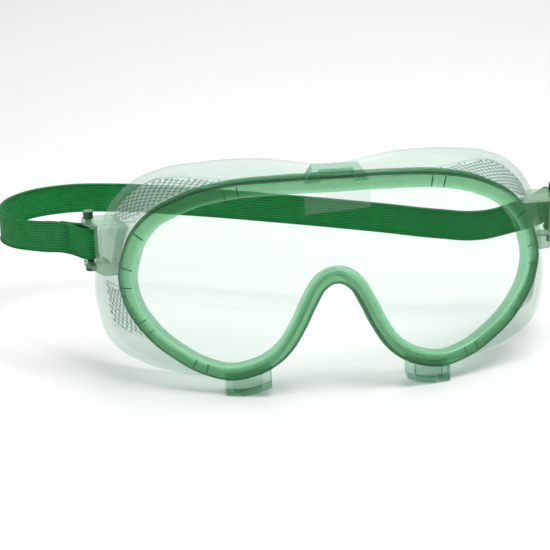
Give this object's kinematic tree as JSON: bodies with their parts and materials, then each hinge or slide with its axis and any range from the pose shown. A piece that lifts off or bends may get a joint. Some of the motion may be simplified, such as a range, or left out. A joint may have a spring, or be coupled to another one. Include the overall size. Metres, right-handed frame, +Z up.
{
  "type": "safety goggles",
  "caption": "Clear soft-frame safety goggles with a wraparound lens, side and top vents and a sewn elastic head strap.",
  "frame": {"origin": "on the table, under the front centre of the rim, in the goggles' mid plane", "axes": "+X to the viewer's right, -Y out of the lens to the front, +Z up"},
  "size_m": [0.2291, 0.1283, 0.0916],
  "materials": {
    "clear_pvc": "clear satin",
    "green_pvc": "translucent gloss",
    "lens_polycarbonate": "clear gloss",
    "olive_pvc": "translucent gloss",
    "pin_plastic": "gloss",
    "elastic": "ribbed weave",
    "thread": "matt",
    "clear_film": "clear gloss"
  },
  "bodies": {
    "goggles": {"face_skirt": "clear_pvc", "lens_rim": "green_pvc", "lens": "lens_polycarbonate", "lens_label": "clear_film", "top_tab_hood": "green_pvc", "bottom_right_tab_hood": "green_pvc", "bottom_left_tab_hood": "green_pvc", "upper_right_vent": "clear_pvc", "upper_left_vent": "clear_pvc", "lower_right_vent": "clear_pvc", "lower_left_vent": "clear_pvc", "right_strap_lug": "olive_pvc", "left_strap_lug": "olive_pvc", "right_strap_pin": "pin_plastic", "left_strap_pin": "pin_plastic"},
    "strap": {"strap_band": "elastic"},
    "left_loop": {"left_strap_loop": "elastic", "left_strap_stitching": "thread"},
    "right_loop": {"right_strap_loop": "elastic", "right_strap_stitching": "thread"}
  },
  "joints": [
    {"name": "strap_tilt", "type": "hinge", "parent": "goggles", "child": "strap", "pos_m": [0, 0.0445, 0.0535], "axis": [1, 0, 0], "range_deg": [-7, 7]},
    {"name": "left_loop_swivel", "type": "hinge", "parent": "strap", "child": "left_loop", "pos_m": [-0.0935, 0.0445, 0.0535], "axis": [0, 0, 1], "range_deg": [-20, 20]},
    {"name": "right_loop_swivel", "type": "hinge", "parent": "strap", "child": "right_loop", "pos_m": [0.0935, 0.0445, 0.0535], "axis": [0, 0, 1], "range_deg": [-22, 3]}
  ]
}
